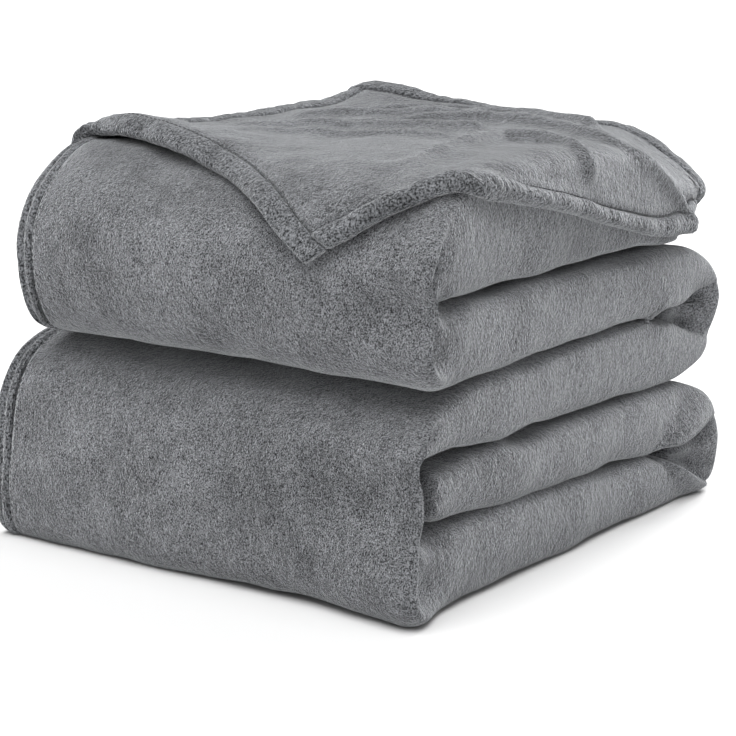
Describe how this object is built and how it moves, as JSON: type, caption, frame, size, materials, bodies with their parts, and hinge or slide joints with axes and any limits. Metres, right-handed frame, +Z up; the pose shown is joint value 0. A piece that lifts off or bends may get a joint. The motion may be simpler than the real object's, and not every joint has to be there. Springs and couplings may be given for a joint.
{
  "type": "folded throw blanket",
  "caption": "Plush fleece throw folded into two soft packs that open like a book about their back fold, with a loose hemmed ply draped over the top and one corner hanging down the front roll.",
  "frame": {"origin": "centre of the pile's footprint, on the surface it lies on", "axes": "+X along the front rolls, from the hemmed end towards the end that shows the folded edges; +Y from the front rolls towards the back folds; +Z up"},
  "size_m": [0.356, 0.4, 0.2755],
  "materials": {
    "fleece": "brushed plush flannel fleece, dull with a soft sheen on the folds",
    "hem": "doubled fleece turned over and stitched, nap pressed flatter",
    "thread": "matt polyester sewing thread"
  },
  "bodies": {
    "lower_pack": {"bottom_layer": "fleece", "tucked_layer": "fleece", "third_layer": "fleece", "lower_front_fold": "fleece", "lower_back_fold": "fleece", "middle_fold_lower_half": "fleece", "lower_end_hem": "hem", "lower_inner_hems": "hem", "lower_end_hem_thread": "thread"},
    "upper_pack": {"second_layer": "fleece", "first_layer": "fleece", "upper_front_fold": "fleece", "middle_fold_upper_half": "fleece", "upper_end_hem": "hem", "upper_inner_hems": "hem", "upper_end_hem_thread": "thread"},
    "loose_ply": {"top_ply": "fleece", "top_hem_left": "hem", "top_hem_right": "hem", "top_hem_back": "hem", "top_hem_front": "hem", "top_hem_thread": "thread"}
  },
  "joints": [
    {"name": "middle_fold", "type": "hinge", "parent": "lower_pack", "child": "upper_pack", "pos_m": [0, 0.2, 0.14425], "axis": [-1, 0, 0], "range_deg": [0, 180]},
    {"name": "loose_ply_lift", "type": "hinge", "parent": "upper_pack", "child": "loose_ply", "pos_m": [0, 0.2, 0.2672], "axis": [-1, 0, 0], "range_deg": [0, 40]}
  ]
}
